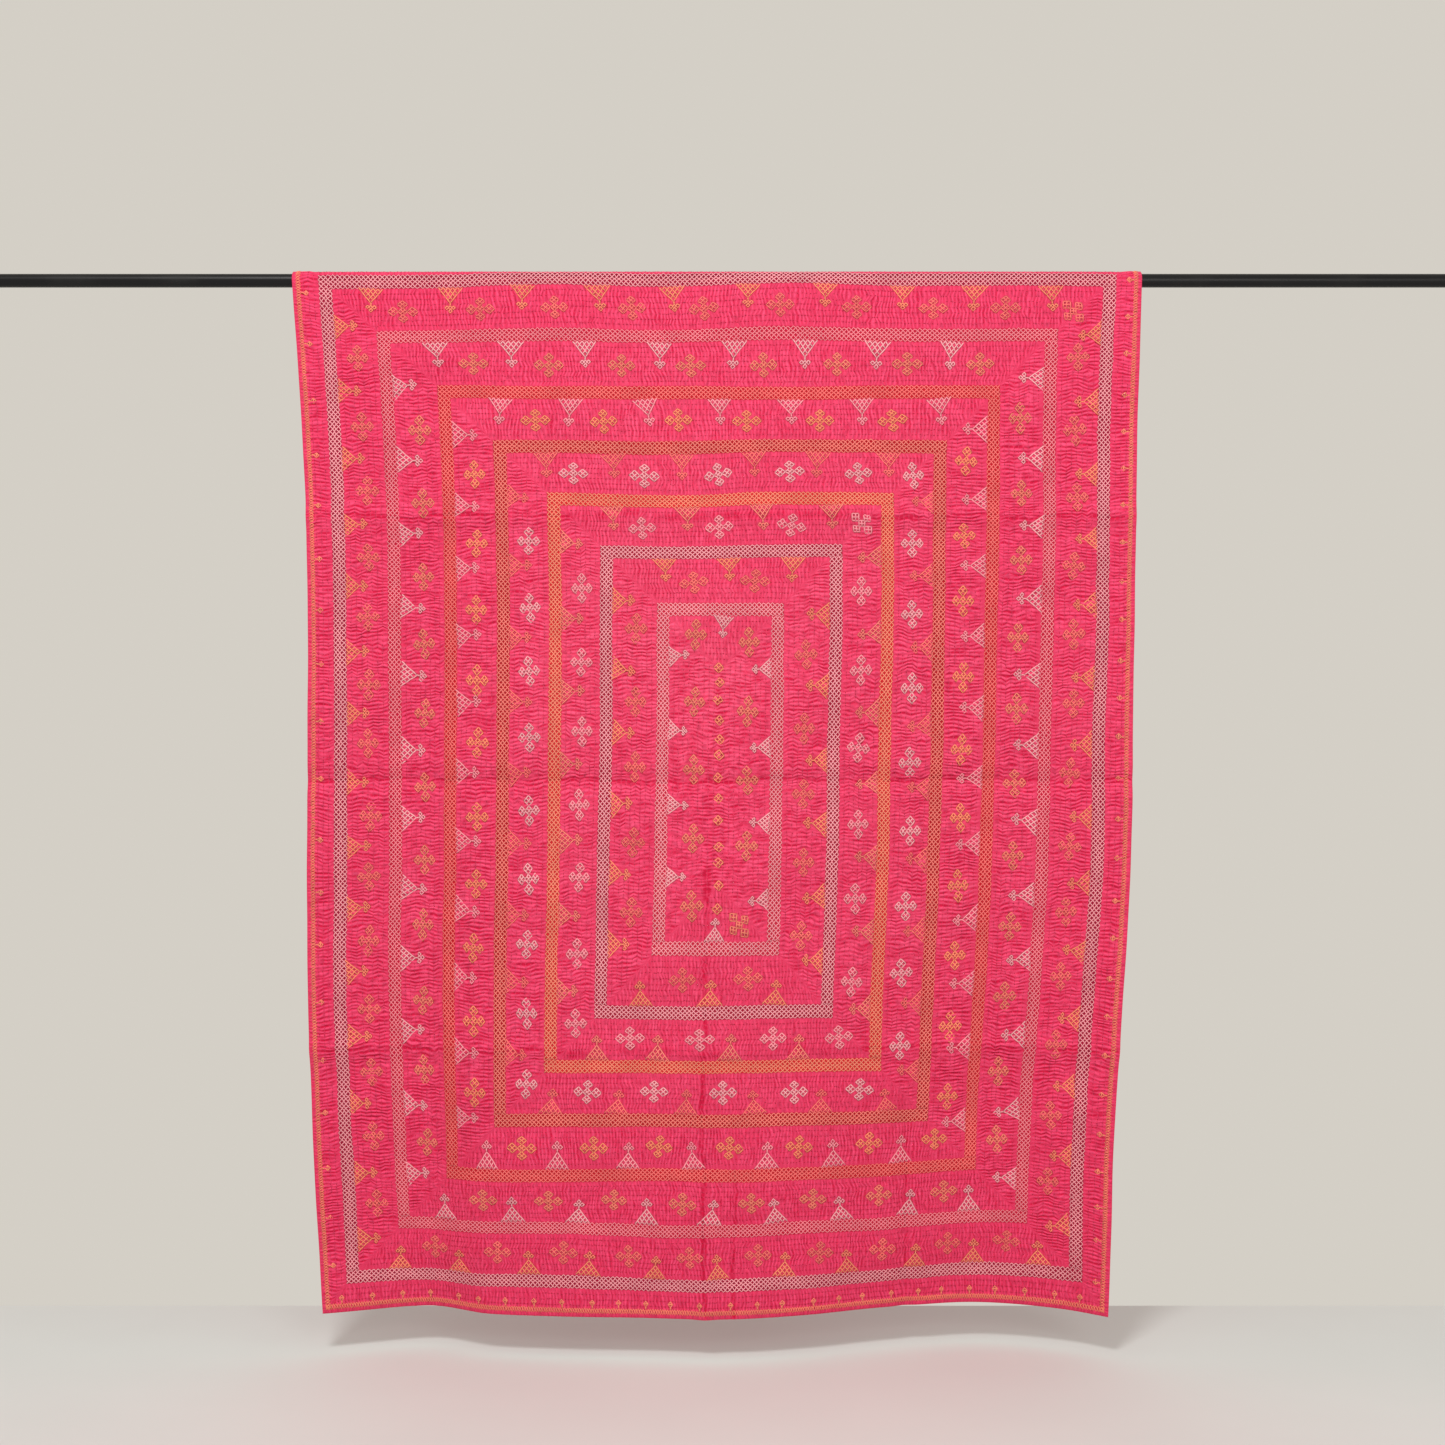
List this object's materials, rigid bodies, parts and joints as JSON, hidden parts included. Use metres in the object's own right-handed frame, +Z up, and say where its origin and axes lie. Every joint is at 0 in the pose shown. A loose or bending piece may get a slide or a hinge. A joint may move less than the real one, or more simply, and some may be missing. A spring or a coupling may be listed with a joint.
{
  "type": "ralli quilt on hanging rod",
  "caption": "Hand-stitched cotton quilt with concentric embroidered frames, hanging over a plain round rod.",
  "frame": {"origin": "on the rod's axis, halfway along it", "axes": "+X along the rod to the right as the quilt's face is seen, +Z up; the face looks towards -Y"},
  "size_m": [3, 0.141, 2.0528],
  "materials": {
    "quilt_cloth": "matt cotton, quilted and embroidered",
    "rod_paint": "satin black paint"
  },
  "bodies": {
    "root": {"quilt": "quilt_cloth", "rod": "rod_paint"}
  },
  "joints": []
}
